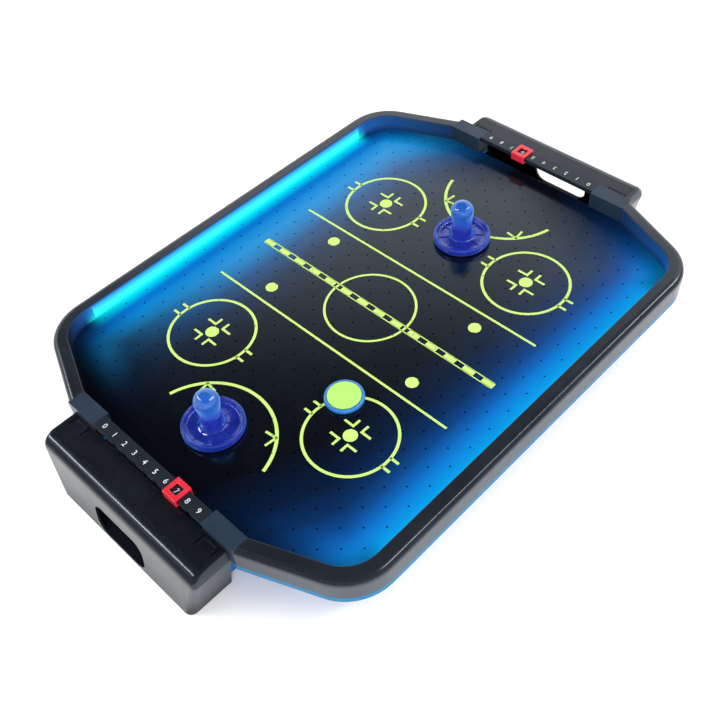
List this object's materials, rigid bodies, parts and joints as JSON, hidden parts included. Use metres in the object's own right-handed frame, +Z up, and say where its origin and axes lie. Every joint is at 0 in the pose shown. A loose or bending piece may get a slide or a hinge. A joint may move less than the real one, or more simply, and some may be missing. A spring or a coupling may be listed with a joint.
{
  "type": "tabletop air hockey table",
  "caption": "Tabletop air hockey table: perforated rink with lit side rails, a goal box and score rail at each end, battery fan below, strikers and a puck.",
  "frame": {"origin": "on the ground under the middle of the rink", "axes": "+X across the table, +Y along it towards the far goal, +Z up"},
  "size_m": [0.453, 0.675, 0.111],
  "materials": {
    "tray_blue": "glossy moulded plastic",
    "foot_rubber": "soft matte rubber",
    "board_black": "smooth printed board",
    "rim_black": "satin moulded plastic",
    "screw_steel": "plated steel",
    "rail_slate": "satin moulded plastic",
    "slider_red": "glossy moulded plastic",
    "box_black": "semi-gloss moulded plastic",
    "lid_black": "satin moulded plastic",
    "circuit_green": "solder-masked board",
    "chip_white": "light chip package",
    "wire_red": "insulated wire",
    "inner_black": "moulded plastic",
    "bracket_steel": "stamped steel",
    "motor_steel": "plated can",
    "shaft_steel": "ground steel",
    "impeller_white": "moulded plastic",
    "cell_copper": "plain printed sleeve",
    "contact_steel": "spring steel",
    "door_blue": "moulded plastic",
    "rocker_red": "moulded plastic",
    "felt_white": "felt",
    "puck_blue": "moulded plastic",
    "puck_green": "luminous green plastic",
    "light_bar": "frosted light bar, lit",
    "striker_blue": "translucent blue plastic"
  },
  "bodies": {
    "table": {"base_tray": "tray_blue", "rubber_feet": "foot_rubber", "playing_surface": "board_black", "rim_left": "rim_black", "rim_right": "rim_black", "rim_screws": "screw_steel", "score_rail_near": "rail_slate", "score_rail_far": "rail_slate", "goal_box_near": "box_black", "goal_box_far": "box_black", "goal_lid_near": "lid_black", "goal_lid_far": "lid_black", "goal_box_screws": "screw_steel", "led_diffuser_left": "light_bar", "led_diffuser_right": "light_bar", "led_board_left": "circuit_green", "led_board_right": "circuit_green", "led_chips_left": "chip_white", "led_chips_right": "chip_white", "led_wires": "wire_red", "intake_grille": "inner_black", "fan_shroud": "inner_black", "fan_screws": "screw_steel", "motor_bracket": "bracket_steel", "fan_motor": "motor_steel", "fan_wires": "wire_red", "battery_box": "inner_black", "battery_cells": "cell_copper", "battery_contacts": "contact_steel", "battery_wires": "wire_red", "switch_wires": "wire_red", "control_board": "circuit_green", "power_switch_body": "inner_black"},
    "near_slider": {"score_slider_near": "slider_red"},
    "far_slider": {"score_slider_far": "slider_red"},
    "near_striker": {"striker_base_near": "striker_blue", "striker_knob_near": "striker_blue", "striker_felt_near": "felt_white"},
    "far_striker": {"striker_base_far": "striker_blue", "striker_knob_far": "striker_blue", "striker_felt_far": "felt_white"},
    "puck": {"puck_body": "puck_blue", "puck_disc": "puck_green"},
    "fan": {"fan_impeller": "impeller_white", "motor_shaft": "shaft_steel"},
    "switch_rocker": {"power_switch_rocker": "rocker_red"},
    "battery_cover": {"battery_door": "door_blue"}
  },
  "joints": [
    {"name": "near_score_slide", "type": "slide", "parent": "table", "child": "near_slider", "axis": [1, 0, 0], "range_m": [-0.1071, 0.0306]},
    {"name": "far_score_slide", "type": "slide", "parent": "table", "child": "far_slider", "axis": [1, 0, 0], "range_m": [-0.0459, 0.0918]},
    {"name": "near_striker_slide", "type": "slide", "parent": "table", "child": "near_striker", "axis": [1, 0, 0], "range_m": [-0.14, 0.14]},
    {"name": "far_striker_slide", "type": "slide", "parent": "table", "child": "far_striker", "axis": [1, 0, 0], "range_m": [-0.14, 0.14]},
    {"name": "puck_slide", "type": "slide", "parent": "table", "child": "puck", "axis": [0, 1, 0], "range_m": [-0.045, 0.184]},
    {"name": "fan_spin", "type": "hinge", "parent": "table", "child": "fan", "pos_m": [0, 0, 0.02], "axis": [0, 0, 1], "continuous": true},
    {"name": "switch_rock", "type": "hinge", "parent": "table", "child": "switch_rocker", "pos_m": [0.191, -0.12, 0.028], "axis": [0, 1, 0], "range_deg": [0, 20]},
    {"name": "battery_cover_slide", "type": "slide", "parent": "table", "child": "battery_cover", "axis": [0, -1, 0], "range_m": [0, 0.035]}
  ]
}
